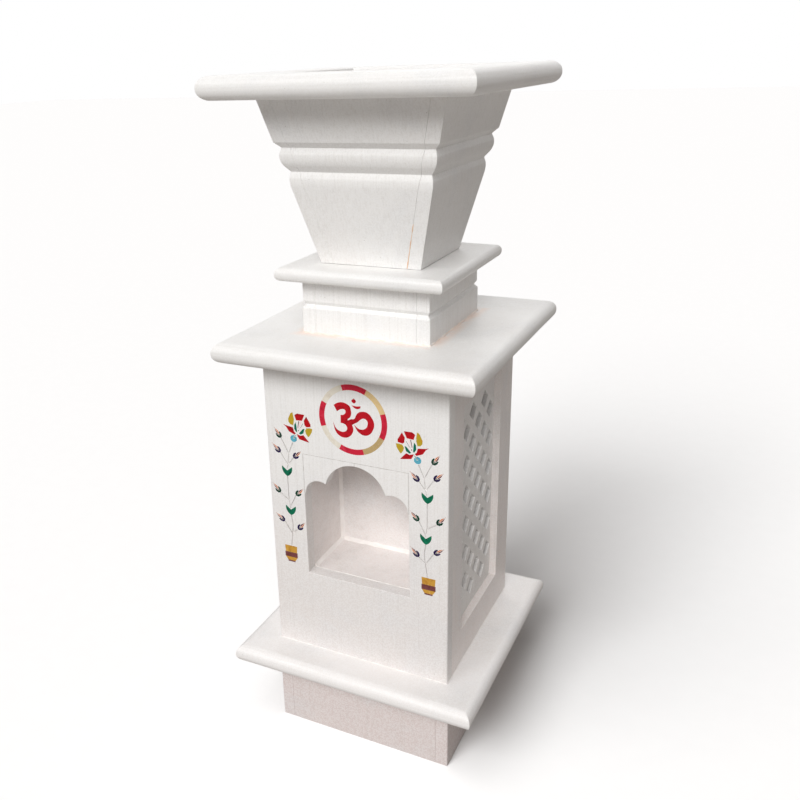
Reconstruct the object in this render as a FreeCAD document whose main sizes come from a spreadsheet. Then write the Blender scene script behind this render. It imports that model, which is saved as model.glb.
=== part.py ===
import FreeCAD, Part

import math
import os

import Sketcher
from FreeCAD import Vector

# A tulsi vrindavan planter, glued up from sawn marble slabs, in millimetres.
# The origin is the middle of the plinth's underside, +Z is up and the front looks along -Y.

SIZES = (
    ("panel_thick", 18.0, "upright panels of plinth, body, neck and pot"),
    ("arris", 1.2, "small flat worked on the outer upright corners"),
    ("nose_flat", 1.5, "flat left between the two roundings of a slab's edge"),
    ("trim_overrun", 10.0, "how far a trimming cut runs past what it trims"),
    ("plinth_side", 262.0, "plinth, outside"),
    ("plinth_rise", 110.0, "height of the plinth panels"),
    ("base_side", 356.0, "base slab"),
    ("base_thick", 28.0, "base slab"),
    ("body_side", 258.0, "body box, outside"),
    ("cap_side", 352.0, "slab over the body"),
    ("cap_thick", 28.0, "slab over the body"),
    ("neck_side", 176.0, "neck's lower band, outside"),
    ("neck_upper_side", 174.0, "neck's upper band, outside"),
    ("neck_rise", 70.0, "height of the neck panels"),
    ("neck_groove_level", 37.0, "bottom of the neck's groove above the neck's foot"),
    ("neck_groove_depth", 4.0, "depth of that groove below the lower band"),
    ("neck_groove_lip", 4.5, "height of each side of that groove"),
    ("ledge_side", 226.0, "thin slab under the pot, which is also its floor"),
    ("ledge_thick", 18.0, "thin slab under the pot"),
    ("pot_foot_side", 136.0, "pot's outside at its foot"),
    ("pot_mouth_side", 238.0, "pot's outside under the rim"),
    ("pot_rise", 202.0, "height of the pot panels"),
    ("pot_groove_level", 145.0, "bottom of the pot's upper groove above the pot's foot"),
    ("pot_groove_depth", 5.4, "depth of both pot grooves below the taper line"),
    ("pot_groove_lip", 6.5, "height of each side of a pot groove"),
    ("bead_rise", 16.0, "bead between the two grooves"),
    ("bead_inset", 1.6, "bead's edges below the taper line"),
    ("bead_crown", 1.7, "how far the bead swells past its edges"),
    ("shoulder_rise", 14.0, "rounded shoulder under the lower groove"),
    ("shoulder_inset", 2.1, "shoulder's upper edge below the taper line"),
    ("shoulder_crown", 0.6, "how far the shoulder swells past its edges"),
    ("rim_side", 338.0, "rim slab"),
    ("rim_thick", 28.0, "rim slab"),
    ("rim_opening", 190.0, "square planting opening"),
    ("mouth_round", 4.0, "rounding of the opening's upper edge"),
    ("niche_width", 151.0, "opening in the front panel, and the lined niche"),
    ("niche_sill", 122.0, "niche floor above the foot of the body"),
    ("opening_rise", 181.0, "opening in the front panel, sill to top joint"),
    ("niche_depth", 103.0, "front face to the niche's back wall"),
    ("lining_thick", 12.0, "walls, floor and ceiling of the niche"),
    ("brow_rise", 127.0, "body panels above that top joint"),
    ("crown_web", 5.0, "stone left between the arch's crown and the top joint"),
    ("crown_lift", 34.0, "height of the middle lobe over its cusps"),
    ("lobe_width", 31.0, "side lobe, from its cusp to the insert's foot"),
    ("lobe_radius", 21.0, "radius of the two side lobes"),
    ("foot_web", 1.5, "thickness of the arch insert's feet"),
    ("window_width", 152.0, "window in each side panel"),
    ("window_sill", 52.0, "side panel below its window"),
    ("window_rail", 50.0, "side panel above its window"),
    ("screen_thick", 8.0, "pierced screen, set flush with the panel's inner face"),
    ("screen_border", 8.25, "window's foot and head to the first crossing of the bars"),
    ("lattice_bar", 12.5, "width of the lattice bars"),
    ("inlay_depth", 2.0, "thickness of the inlaid chips and depth of their pockets"),
    ("inlay_gap", 0.5, "marble left between neighbouring chips"),
    ("ring_width", 7.2, "width of the inlaid ring"),
    ("ring_foot_gap", 12.5, "marble between the arch's top joint and the ring"),
    ("ring_head_gap", 19.5, "marble between the ring and the slab over the body"),
    ("plant_foot_gap", 11.0, "foot of each inlaid vase above the niche floor"),
    ("plant_head_rise", 58.0, "top of each flower above the arch's top joint"),
    ("vase_width", 19.0, "inlaid vase"),
    ("vase_rise", 25.0, "inlaid vase"),
    ("stem_width", 1.5, "inlaid stems"),
    ("leaf_span", 15.0, "pair of leaves, tip to tip"),
    ("leaf_rise", 14.0, "pair of leaves"),
)

# Foot levels of the courses, from the ground up. The niche's top joint is above the body's foot.
BASE_LEVEL = "Sizes.plinth_rise"
BODY_LEVEL = f"({BASE_LEVEL} + Sizes.base_thick)"
OPENING_TOP = "(Sizes.niche_sill + Sizes.opening_rise)"
BODY_RISE = f"({OPENING_TOP} + Sizes.brow_rise)"
CAP_LEVEL = f"({BODY_LEVEL} + {BODY_RISE})"
NECK_LEVEL = f"({CAP_LEVEL} + Sizes.cap_thick)"
LEDGE_LEVEL = f"({NECK_LEVEL} + Sizes.neck_rise)"
POT_LEVEL = f"({LEDGE_LEVEL} + Sizes.ledge_thick)"
RIM_LEVEL = f"({POT_LEVEL} + Sizes.pot_rise)"

# Faces of the body and of the niche that several pieces share.
INNER_FACE = "(Sizes.body_side / 2 - Sizes.panel_thick)"
LINING_HALF = "(Sizes.niche_width / 2 + Sizes.lining_thick)"
BACK_WALL_FACE = "(Sizes.niche_depth - Sizes.body_side / 2)"
BACK_WALL_REAR = f"({BACK_WALL_FACE} + Sizes.lining_thick)"
WINDOW_HEAD = f"({BODY_RISE} - Sizes.window_rail)"

# The plane that each wall is drawn on, and its side of that plane: the first plane's normal points
# to the front, the second one's to the right.
WALLS = {
    "front": ("XZ_Plane", 1),
    "back": ("XZ_Plane", -1),
    "right": ("YZ_Plane", 1),
    "left": ("YZ_Plane", -1),
}

# Lattice of a screen: columns come in pairs, the second of a pair half a step higher and one hole
# shorter than the first. The steps are half a diamond cell, across and upward.
COLUMN_PAIRS = 3
TALL_COLUMN_HOLES = 7
STEP_ACROSS = f"((Sizes.window_width + Sizes.lattice_bar) / {2 * COLUMN_PAIRS + 1})"
STEP_UP = f"(({WINDOW_HEAD} - Sizes.window_sill - 2 * Sizes.screen_border) / {2 * TALL_COLUMN_HOLES})"

# A place on a plant is how far outward of the vase's axis it is, as a share of the strip beside the
# opening, and how high, as a share of the plant. The stem wanders a little, as a drawn one does.
STEM_FOOT_SHARE = -0.023
LOW_BEND_SHARES = ((-0.074, 0.197), (-0.107, 0.260))
MIDDLE_BEND_SHARES = (-0.030, 0.440)
TWIN_TWIG_SHARES = (-0.068, 0.658)
FORK_SHARES = (-0.100, 0.732)
LEAF_FOOT_SHARES = ((-0.068, 0.325), (-0.027, 0.583))
LEAF_NOTCH_SHARE = 0.57
LEAF_SWELL_SHARE = 0.17

# Buds: the place of the cup's middle, the place where its twig leaves the stem, and the bud's turn
# from upright in degrees, outward positive.
GREEN_BUD_SHARES = (
    ((0.141, 0.840), FORK_SHARES, 35.0),
    ((-0.300, 0.478), (-0.060, 0.379), -44.0),
    ((0.264, 0.478), (-0.035, 0.425), 41.0),
)
PLUM_BUD_SHARES = (
    ((-0.290, 0.722), TWIN_TWIG_SHARES, -46.0),
    ((0.195, 0.743), TWIN_TWIG_SHARES, 46.0),
    ((-0.300, 0.250), (-0.089, 0.206), -42.0),
    ((0.200, 0.285), (-0.074, 0.197), 54.0),
)

# Chips of a bud, as corners across and along it from the cup's middle. One unit is half of the cup,
# which is a share of the strip.
BUD_HALF_SHARE = 0.080
CUP_SIDE_SHARES = ((0, -1.0), (0.70, -0.65), (1.0, 0.20), (0.82, 1.0), (0.52, 0.92), (0.38, 0.05), (0, -0.55))
HEART_SHARES = ((0, -0.55), (0.38, 0.05), (0.42, 0.32), (-0.42, 0.32), (-0.38, 0.05))
FLAME_SIDE_SHARES = ((0, 0.32), (0.40, 0.32), (0.50, 1.50), (0, 3.10))

# The flower of one plant. Its hub has a place as the buds do. Its chips are cut from straight lines,
# and each corner is outward and upward of the hub, as shares of the reach from the hub to the top of
# the petals, which is itself a share of the strip.
HUB_SHARES = (-0.397, 0.868)
REACH_SHARE = 0.561
STALK_HEAD_SHARES = (0.28, -0.46)
FLOWER_SHARES = {
    "flower_red_petals": (
        ((-0.46, 0.90), (-0.32, 0.67), (-0.35, 0.44), (-0.44, 0.37), (-0.66, 0.41), (-0.67, 0.54)),
        ((-0.39, 0.96), (-0.01, 0.97), (0.14, 0.87), (0.06, 0.62), (-0.25, 0.64)),
        (
            (-0.58, -0.34), (-0.28, -0.01), (-0.13, -0.06), (0.07, 0),
            (0.02, -0.15), (-0.05, -0.26), (-0.40, -0.32),
        ),
        ((0.09, 0), (0.18, 0.09), (0.23, 0.28), (0.71, 0.35), (0.59, 0.24), (0.46, 0.04), (0.17, -0.08)),
    ),
    "flower_gold_petals": (
        ((0.22, 0.97), (0.34, 0.91), (0.46, 0.65), (0.45, 0.50), (0.36, 0.39), (0.22, 0.37), (0.16, 0.60)),
        ((-0.72, 0.34), (-0.45, 0.35), (-0.36, 0.21), (-0.41, 0.04), (-0.52, -0.06), (-0.68, 0.12)),
    ),
    "flower_sepals": (
        ((-0.36, 0.30), (-0.26, 0.28), (-0.04, 0.03), (-0.13, -0.03), (-0.29, 0.06)),
        ((0.07, 0.55), (0.17, 0.41), (0.18, 0.20), (0.08, 0.05), (0.02, 0.08), (0.04, 0.34)),
        ((0.09, -0.07), (0.14, -0.09), (0.25, -0.24), (0.20, -0.27)),
    ),
    "flower_white_ray": (((-0.22, 0.62), (-0.14, 0.62), (-0.04, 0.28), (-0.07, 0.26)),),
    "flower_dark_rays": (
        ((-0.32, 0.56), (-0.26, 0.53), (-0.10, 0.25), (-0.16, 0.29)),
        ((-0.11, 0.62), (-0.05, 0.62), (0.01, 0.30), (-0.02, 0.22)),
        ((-0.04, 0.22), (0, 0.16), (-0.03, 0.10), (-0.08, 0.16)),
    ),
    "flower_bead": (
        (
            (0.12, -0.13), (0.06, -0.21), (0.07, -0.34), (0.16, -0.42), (0.28, -0.43), (0.38, -0.35),
            (0.40, -0.23), (0.34, -0.13), (0.24, -0.09), (0.15, -0.10), (0.25, -0.24), (0.20, -0.27),
        ),
    ),
}

# Chips of the vase: foot and head as shares of its height, width there as shares of its width.
VASE_GOLD_SHARES = ((0.08, 0.28, 0.62, 0.95), (0.60, 1.0, 0.92, 1.0))
VASE_PLUM_SHARES = ((0.0, 0.06, 0.55, 0.57), (0.30, 0.58, 1.0, 1.0))

# Red segments of the ring, and how far the whole ring is turned clockwise, in degrees.
RED_SEGMENTS = 4
RED_SEGMENT_DEGREES = 44.0
RING_TURN_DEGREES = 3.5


def fill_sheet(doc):
    """The driving sizes, one named cell each."""
    sheet = doc.addObject("Spreadsheet::Sheet", "Sizes")
    for row, (alias, size, meaning) in enumerate(SIZES, start=1):
        sheet.set(f"A{row}", alias)
        sheet.set(f"B{row}", str(size))
        sheet.set(f"C{row}", meaning)
        sheet.setAlias(f"B{row}", alias)
    doc.recompute()
    return sheet


def new_body(doc, label, level="0"):
    """A body of its own, with its foot at a level."""
    body = doc.addObject("PartDesign::Body", label)
    body.Label = label
    body.setExpression("Placement.Base.z", level)
    return body


def sketch_on(body, role, offset="0"):
    """A sketch on one of the body's own planes, or parallel to it."""
    plane = next(item for item in body.Origin.OriginFeatures if item.Role == role)
    sketch = body.newObject("Sketcher::SketchObject", f"{body.Label}_outline")
    sketch.AttachmentSupport = [(plane, "")]
    sketch.MapMode = "FlatFace"
    sketch.setExpression("AttachmentOffset.Base.z", offset)
    return sketch


def arc_between(start, end, radius):
    """The shorter anticlockwise arc from start to end."""
    chord = end - start
    rise = math.sqrt(radius**2 - (chord.Length / 2) ** 2)
    centre = (start + end) / 2 + Vector(-chord.y, chord.x, 0).normalize() * rise
    angles = [math.atan2(point.y - centre.y, point.x - centre.x) for point in (start, end)]
    return Part.ArcOfCircle(Part.Circle(centre, Vector(0, 0, 1), radius), *angles)


def draw(sketch, corners):
    """A closed outline. Each corner is (x, y), or (x, y, radius) where an arc leads to the next."""
    values = [[float(sketch.evalExpression(item)) for item in corner] for corner in corners]
    points = [Vector(value[0], value[1], 0) for value in values]
    first = sketch.GeometryCount
    for index, value in enumerate(values):
        start = points[index]
        end = points[(index + 1) % len(points)]
        edge = arc_between(start, end, value[2]) if len(value) > 2 else Part.LineSegment(start, end)
        sketch.addGeometry(edge, False)
    for index, corner in enumerate(corners):
        edge = first + index
        following = first + (index + 1) % len(corners)
        sketch.addConstraint(Sketcher.Constraint("Coincident", edge, 2, following, 1))
        bind(sketch, Sketcher.Constraint("DistanceX", -1, 1, edge, 1, values[index][0]), corner[0])
        bind(sketch, Sketcher.Constraint("DistanceY", -1, 1, edge, 1, values[index][1]), corner[1])
        if len(corner) > 2:
            bind(sketch, Sketcher.Constraint("Radius", edge, values[index][2]), corner[2])


def bind(sketch, constraint, expression):
    """Add a dimension and tie it to the sheet."""
    number = sketch.addConstraint(constraint)
    sketch.setExpression(f"Constraints[{number}]", expression)


def block(left, right, low, high):
    """Corners of a rectangle between two sides and two levels."""
    return [(left, low), (right, low), (right, high), (left, high)]


def centred_block(half_width, low, high):
    """Corners of a rectangle, centred across."""
    return block(f"-({half_width})", half_width, low, high)


def mirrored(corners):
    """The same outline on the other side of the upright axis, its arcs still anticlockwise."""
    flipped = []
    for index in range(len(corners) - 1, -1, -1):
        across, level = corners[index][:2]
        flipped.append((f"-({across})", level) + corners[index - 1][2:])
    return flipped


def pad(body, sketch, length):
    """Grow the sketch along its normal."""
    feature = body.newObject("PartDesign::Pad", f"{sketch.Label}_pad")
    feature.Profile = sketch
    feature.setExpression("Length", length)
    body.Document.recompute()
    return feature


def pocket(body, sketch, length):
    """Cut the sketch against its normal, and make sure that it cuts."""
    before = body.Shape.Volume
    feature = body.newObject("PartDesign::Pocket", f"{sketch.Label}_pocket")
    feature.Profile = sketch
    feature.setExpression("Length", length)
    body.Document.recompute()
    if not body.Shape.Volume < before:
        raise RuntimeError(f"{feature.Label} cuts nothing")
    return feature


def dress(body, kind, base, wanted, size_name, size):
    """A fillet or chamfer on those edges of a feature that pass a test."""
    names = [f"Edge{number}" for number, edge in enumerate(base.Shape.Edges, start=1) if wanted(edge)]
    feature = body.newObject(f"PartDesign::{kind}", f"{body.Label}_{kind.lower()}")
    feature.Base = (base, names)
    feature.setExpression(size_name, size)
    body.Document.recompute()
    return feature


def is_upright(edge):
    """Whether an edge runs straight up."""
    start, end = (vertex.Point for vertex in edge.Vertexes)
    return math.isclose(abs(end.z - start.z), edge.Length)


def plan_reach(edge):
    """How far an edge's middle lies from the axis."""
    return math.hypot(edge.CenterOfMass.x, edge.CenterOfMass.y)


def wall_offset(wall, side):
    """Where the plane of a wall's sketch stands, so that the wall grows along its normal."""
    return f"{side} / 2 - Sizes.panel_thick" if WALLS[wall][1] > 0 else f"-{side} / 2"


def plain_wall(doc, label, wall, level, side, rise, full_width, openings=()):
    """An upright panel of a square box, either the box's full width or fitted between two others."""
    body = new_body(doc, label, level)
    half = f"{side} / 2" if full_width else f"({side} / 2 - Sizes.panel_thick)"
    sketch = sketch_on(body, WALLS[wall][0], wall_offset(wall, side))
    draw(sketch, centred_block(half, "0", rise))
    for opening in openings:
        draw(sketch, opening)
    panel = pad(body, sketch, "Sizes.panel_thick")
    if full_width:
        reach = max(plan_reach(edge) for edge in panel.Shape.Edges if is_upright(edge))

        def at_corner(edge):
            return is_upright(edge) and math.isclose(plan_reach(edge), reach)

        dress(body, "Chamfer", panel, at_corner, "Size", "Sizes.arris")
    return body


def plinth(doc):
    """Four plain panels; the sawn ends of the side panels show on the front."""
    side = "Sizes.plinth_side"
    pieces = []
    for wall in WALLS:
        full_width = wall in ("left", "right")
        label = f"plinth_{wall}_panel"
        pieces.append(plain_wall(doc, label, wall, "0", side, "Sizes.plinth_rise", full_width))
    return pieces


def body_walls(doc):
    """The body's panels: front and back run the full width, and the sides hold the windows."""
    niche = centred_block("Sizes.niche_width / 2", "Sizes.niche_sill", OPENING_TOP)
    window = centred_block("Sizes.window_width / 2", "Sizes.window_sill", WINDOW_HEAD)
    openings = {"front": (niche,), "back": (), "left": (window,), "right": (window,)}
    side = "Sizes.body_side"
    walls = {}
    for wall in WALLS:
        full_width = wall in ("front", "back")
        label = "front_panel_before_inlay" if wall == "front" else f"body_{wall}_panel"
        walls[wall] = plain_wall(
            doc, label, wall, BODY_LEVEL, side, BODY_RISE, full_width, openings[wall]
        )
    return walls


def nosed_slab(doc, label, level, side, thick):
    """A square slab with a half-round edge, mitred at its corners."""
    body = new_body(doc, label, level)
    sketch = sketch_on(body, "XY_Plane")
    draw(sketch, centred_block(f"{side} / 2", f"-{side} / 2", f"{side} / 2"))
    slab = pad(body, sketch, thick)
    radius = f"({thick} - Sizes.nose_flat) / 2"
    dress(body, "Fillet", slab, lambda edge: not is_upright(edge), "Radius", radius)
    return body


def rim(doc):
    """The rim slab, with its square planting opening."""
    body = nosed_slab(doc, "rim_slab", RIM_LEVEL, "Sizes.rim_side", "Sizes.rim_thick")
    sketch = sketch_on(body, "XY_Plane", "Sizes.rim_thick")
    half = "Sizes.rim_opening / 2"
    draw(sketch, centred_block(half, f"-{half}", half))
    opening = pocket(body, sketch, "Sizes.rim_thick")
    reach = float(sketch.evalExpression(half))
    head = float(sketch.evalExpression("Sizes.rim_thick"))

    def on_mouth(edge):
        return math.isclose(plan_reach(edge), reach) and math.isclose(edge.CenterOfMass.z, head)

    dress(body, "Fillet", opening, on_mouth, "Radius", "Sizes.mouth_round")
    return body


def moulded_wall(doc, label, wall, level, profile, inner_foot, inner_mouth, full_width):
    """A moulded panel. The profile gives the outside, foot to mouth, as half-widths and levels."""
    body = new_body(doc, label, level)
    role, way = WALLS[wall]
    front_or_back = role == "XZ_Plane"
    foot = profile[0][1]
    mouth_half, mouth = profile[-1]
    section = [(inner_foot, foot)] + profile + [(inner_mouth, mouth)]
    outward = -way if front_or_back else way
    end = f"({mouth_half} + Sizes.trim_overrun)"
    section_sketch = sketch_on(body, "YZ_Plane" if front_or_back else "XZ_Plane", f"-{end}")
    draw(section_sketch, section if outward > 0 else mirrored(section))
    pad(body, section_sketch, f"2 * {end}")

    # The ends are trimmed to the box's own outline, so that the mouldings run round the corners,
    # or to its inner faces where the panel fits between two others.
    far = f"({mouth_half} + 2 * Sizes.trim_overrun)"
    edge = profile if full_width else [(inner_foot, foot), (inner_mouth, mouth)]
    waste = edge + [(far, mouth), (far, foot)]
    trim = sketch_on(body, role, far)
    draw(trim, waste)
    draw(trim, mirrored(waste))
    pocket(body, trim, f"2 * {far}")
    return body


def moulded_box(doc, prefix, level, profile, inner_foot, inner_mouth):
    """Four moulded panels: left and right run the full depth, front and back fit between them."""
    pieces = []
    for wall in WALLS:
        full_width = wall in ("left", "right")
        label = f"{prefix}_{wall}_panel"
        pieces.append(
            moulded_wall(doc, label, wall, level, profile, inner_foot, inner_mouth, full_width)
        )
    return pieces


def neck(doc):
    """The neck under the pot: two bands with a groove between them."""
    low = "Sizes.neck_side / 2"
    high = "Sizes.neck_upper_side / 2"
    groove = "Sizes.neck_groove_level"
    profile = [
        (low, "0"),
        (low, f"{groove} - Sizes.neck_groove_lip"),
        (f"{low} - Sizes.neck_groove_depth", groove),
        (high, f"{groove} + Sizes.neck_groove_lip"),
        (high, "Sizes.neck_rise"),
    ]
    inner = "(Sizes.neck_side / 2 - Sizes.panel_thick)"
    return moulded_box(doc, "neck", NECK_LEVEL, profile, inner, inner)


def taper(level, inset="0"):
    """Half-width of the pot at a level, less an inset."""
    spread = "(Sizes.pot_mouth_side - Sizes.pot_foot_side) / 2"
    return f"(Sizes.pot_foot_side / 2 + {spread} * ({level}) / Sizes.pot_rise - {inset})"


def swelling_radius(rise, run, crown):
    """Radius of an arc from its rise, its run and how far it swells past its chord."""
    return f"(((({rise})^2 + ({run})^2) / 4 + {crown}^2) / (2 * {crown}))"


def pot(doc):
    """The tapered pot, with a bead between two grooves and a rounded shoulder below them."""
    high_groove = "Sizes.pot_groove_level"
    bead_head = f"({high_groove} - Sizes.pot_groove_lip)"
    bead_foot = f"({bead_head} - Sizes.bead_rise)"
    low_groove = f"({bead_foot} - Sizes.pot_groove_lip)"
    shoulder_head = f"({low_groove} - Sizes.pot_groove_lip)"
    shoulder_foot = f"({shoulder_head} - Sizes.shoulder_rise)"
    shoulder_run = f"{taper(shoulder_head, 'Sizes.shoulder_inset')} - {taper(shoulder_foot)}"
    bead_run = f"{taper(bead_head)} - {taper(bead_foot)}"
    shoulder = swelling_radius("Sizes.shoulder_rise", shoulder_run, "Sizes.shoulder_crown")
    bead = swelling_radius("Sizes.bead_rise", bead_run, "Sizes.bead_crown")
    lip = f"({high_groove} + Sizes.pot_groove_lip)"
    profile = [
        ("Sizes.pot_foot_side / 2", "0"),
        (taper(shoulder_foot), shoulder_foot, shoulder),
        (taper(shoulder_head, "Sizes.shoulder_inset"), shoulder_head),
        (taper(low_groove, "Sizes.pot_groove_depth"), low_groove),
        (taper(bead_foot, "Sizes.bead_inset"), bead_foot, bead),
        (taper(bead_head, "Sizes.bead_inset"), bead_head),
        (taper(high_groove, "Sizes.pot_groove_depth"), high_groove),
        (taper(lip), lip),
        ("Sizes.pot_mouth_side / 2", "Sizes.pot_rise"),
    ]
    inner_foot = "(Sizes.pot_foot_side / 2 - Sizes.panel_thick)"
    inner_mouth = "(Sizes.pot_mouth_side / 2 - Sizes.panel_thick)"
    return moulded_box(doc, "pot", POT_LEVEL, profile, inner_foot, inner_mouth)


def arch_insert(doc):
    """The cusped slab that fills the head of the front panel's opening."""
    body = new_body(doc, "arch_insert", BODY_LEVEL)
    half = "Sizes.niche_width / 2"
    inner = f"({half} - Sizes.foot_web)"
    cusp = f"({inner} - Sizes.lobe_width)"
    cusp_level = f"({OPENING_TOP} - Sizes.crown_web - Sizes.crown_lift)"
    crown = swelling_radius("0", f"2 * {cusp}", "Sizes.crown_lift")
    run = "(Sizes.lobe_width - Sizes.lobe_radius)"
    foot_level = f"({cusp_level} - sqrt(Sizes.lobe_radius^2 - {run}^2))"
    outline = [
        (inner, foot_level, "Sizes.lobe_radius"),
        (cusp, cusp_level, crown),
        (f"-{cusp}", cusp_level, "Sizes.lobe_radius"),
        (f"-{inner}", foot_level),
        (f"-{half}", foot_level),
        (f"-{half}", OPENING_TOP),
        (half, OPENING_TOP),
        (half, foot_level),
    ]
    sketch = sketch_on(body, "XZ_Plane", INNER_FACE)
    draw(sketch, outline)
    pad(body, sketch, "Sizes.panel_thick")
    return body


def lining(doc):
    """The niche behind the arch: a floor between two walls and a back wall, and a ceiling on them."""
    half = "Sizes.niche_width / 2"
    front = f"-{INNER_FACE}"
    foot = "(Sizes.niche_sill - Sizes.lining_thick)"
    wall_rise = f"({OPENING_TOP} - {foot})"
    floor = block(f"-{half}", half, front, BACK_WALL_FACE)
    left_wall = block(f"-{LINING_HALF}", f"-{half}", front, BACK_WALL_FACE)
    right_wall = block(half, LINING_HALF, front, BACK_WALL_FACE)
    back_wall = block(f"-{LINING_HALF}", LINING_HALF, BACK_WALL_FACE, BACK_WALL_REAR)
    ceiling = block(f"-{LINING_HALF}", LINING_HALF, front, BACK_WALL_REAR)
    slabs = (
        ("niche_floor_slab", floor, foot, "Sizes.lining_thick"),
        ("niche_left_wall", left_wall, foot, wall_rise),
        ("niche_right_wall", right_wall, foot, wall_rise),
        ("niche_back_wall", back_wall, foot, wall_rise),
        ("niche_ceiling_slab", ceiling, OPENING_TOP, "Sizes.lining_thick"),
    )
    pieces = []
    for label, plan, level, rise in slabs:
        body = new_body(doc, label, BODY_LEVEL)
        sketch = sketch_on(body, "XY_Plane", level)
        draw(sketch, plan)
        pad(body, sketch, rise)
        pieces.append(body)
    return pieces


def repeated(body, sketch, axis, copies, step):
    """One direction of a pattern, with two steps from each copy to the next."""
    pattern = body.newObject("PartDesign::LinearPattern", f"{sketch.Label}_repeat")
    pattern.Direction = (sketch, [axis])
    pattern.Occurrences = copies
    pattern.setExpression("Length", f"{2 * (copies - 1)} * {step}")
    return pattern


def pierce(body, face, first_column, holes):
    """One set of the screen's diamond holes: cut once, then repeated across and upward."""
    slant = f"(Sizes.lattice_bar / 2 * sqrt({STEP_ACROSS}^2 + {STEP_UP}^2))"
    half_width = f"({STEP_ACROSS} - {slant} / {STEP_UP})"
    half_rise = f"({STEP_UP} - {slant} / {STEP_ACROSS})"
    across = f"({first_column} * {STEP_ACROSS})"
    middle = f"((Sizes.window_sill + {WINDOW_HEAD}) / 2)"
    level = f"({middle} - {holes - 1} * {STEP_UP})"
    sketch = sketch_on(body, "YZ_Plane", face)
    diamond = [
        (across, f"{level} - {half_rise}"),
        (f"{across} + {half_width}", level),
        (across, f"{level} + {half_rise}"),
        (f"{across} - {half_width}", level),
    ]
    draw(sketch, diamond)
    hole = pocket(body, sketch, "Sizes.screen_thick")
    pattern = body.newObject("PartDesign::MultiTransform", f"{sketch.Label}_lattice")
    pattern.Originals = [hole]
    pattern.Transformations = [
        repeated(body, sketch, "V_Axis", holes, STEP_UP),
        repeated(body, sketch, "H_Axis", COLUMN_PAIRS, STEP_ACROSS),
    ]
    body.Tip = pattern
    body.Document.recompute()


def screen(doc, label, back, face):
    """A pierced screen in the window of a side panel, between two planes square to X."""
    body = new_body(doc, label, BODY_LEVEL)
    sketch = sketch_on(body, "YZ_Plane", back)
    draw(sketch, centred_block("Sizes.window_width / 2", "Sizes.window_sill", WINDOW_HEAD))
    pad(body, sketch, "Sizes.screen_thick")
    tall_column = -COLUMN_PAIRS + 1 / 2
    pierce(body, face, tall_column, TALL_COLUMN_HOLES)
    pierce(body, face, tall_column + 1, TALL_COLUMN_HOLES - 1)
    return body


def screens(doc):
    """The two screens, each flush with its panel's inner face."""
    outer = f"({INNER_FACE} + Sizes.screen_thick)"
    return [
        screen(doc, "jali_left", f"-{outer}", f"-{INNER_FACE}"),
        screen(doc, "jali_right", INNER_FACE, outer),
    ]


def toward(turn):
    """Direction in the plane of the front, by its turn from upright in degrees, outward positive."""
    return Vector(math.sin(math.radians(turn)), 0, math.cos(math.radians(turn)))


def beside(direction):
    """Direction a quarter turn outward of another."""
    return Vector(direction.z, 0, -direction.x)


def through(start, middle, end):
    """An arc through three points."""
    return Part.Arc(start, middle, end).toShape()


def straight_edges(points):
    """Straight edges round a closed run of points."""
    return [Part.makeLine(point, points[index - 1]) for index, point in enumerate(points)]


def chip(sheet, edges):
    """A chip of stone from its closed outline, polished face towards the front."""
    face = Part.Face(Part.Wire(Part.__sortEdges__(edges)))
    solid = face.extrude(Vector(0, sheet.inlay_depth, 0))
    return solid if solid.Volume > 0 else solid.reversed()


def inset(points, distance):
    """A closed run of points, each side of it drawn in by a distance."""
    nexts = points[1:] + points[:1]
    turning = sum(point.cross(after).y for point, after in zip(points, nexts))
    inward = [beside((after - point).normalize()) for point, after in zip(points, nexts)]
    if turning < 0:
        inward = [normal * -1 for normal in inward]
    drawn = []
    for index, point in enumerate(points):
        before, after = inward[index - 1], inward[index]
        drawn.append(point + (before + after) * distance / (1 + before.dot(after)))
    return drawn


def straight_chip(sheet, corners):
    """A chip with straight sides that leaves half of the marble gap round its outline."""
    return chip(sheet, straight_edges(inset(corners, sheet.inlay_gap / 2)))


def strip_width(sheet):
    """Width of the front panel beside the opening, where the plants are."""
    return (sheet.body_side - sheet.niche_width) / 2


def plant_point(sheet, outward_share, upward_share):
    """A place on the right-hand plant, from the vase's axis and foot."""
    strip = strip_width(sheet)
    axis = sheet.body_side / 2 - strip / 2
    foot = sheet.niche_sill + sheet.plant_foot_gap
    head = sheet.niche_sill + sheet.opening_rise + sheet.plant_head_rise
    return Vector(axis + outward_share * strip, 0, foot + upward_share * (head - foot))


def flower_point(sheet, outward_share, upward_share):
    """A place on the right-hand flower, from its hub."""
    reach = REACH_SHARE * strip_width(sheet)
    return plant_point(sheet, *HUB_SHARES) + Vector(outward_share, 0, upward_share) * reach


def flower_chips(sheet, name):
    """The flower's chips of one stone."""
    return [
        straight_chip(sheet, [flower_point(sheet, *corner) for corner in corners])
        for corners in FLOWER_SHARES[name]
    ]


def bud_half(sheet):
    """Half of the length, and of the width, of a bud's cup."""
    return BUD_HALF_SHARE * strip_width(sheet)


def bud_chips(sheet, buds, outline, ways):
    """The same chip of every bud, on one side of its middle line or on both."""
    chips = []
    for place, _, turn in buds:
        middle = plant_point(sheet, *place)
        along = toward(turn) * bud_half(sheet)
        for way in ways:
            across = beside(along) * way
            corners = [middle + across * out + along * forward for out, forward in outline]
            chips.append(straight_chip(sheet, corners))
    return chips


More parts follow.
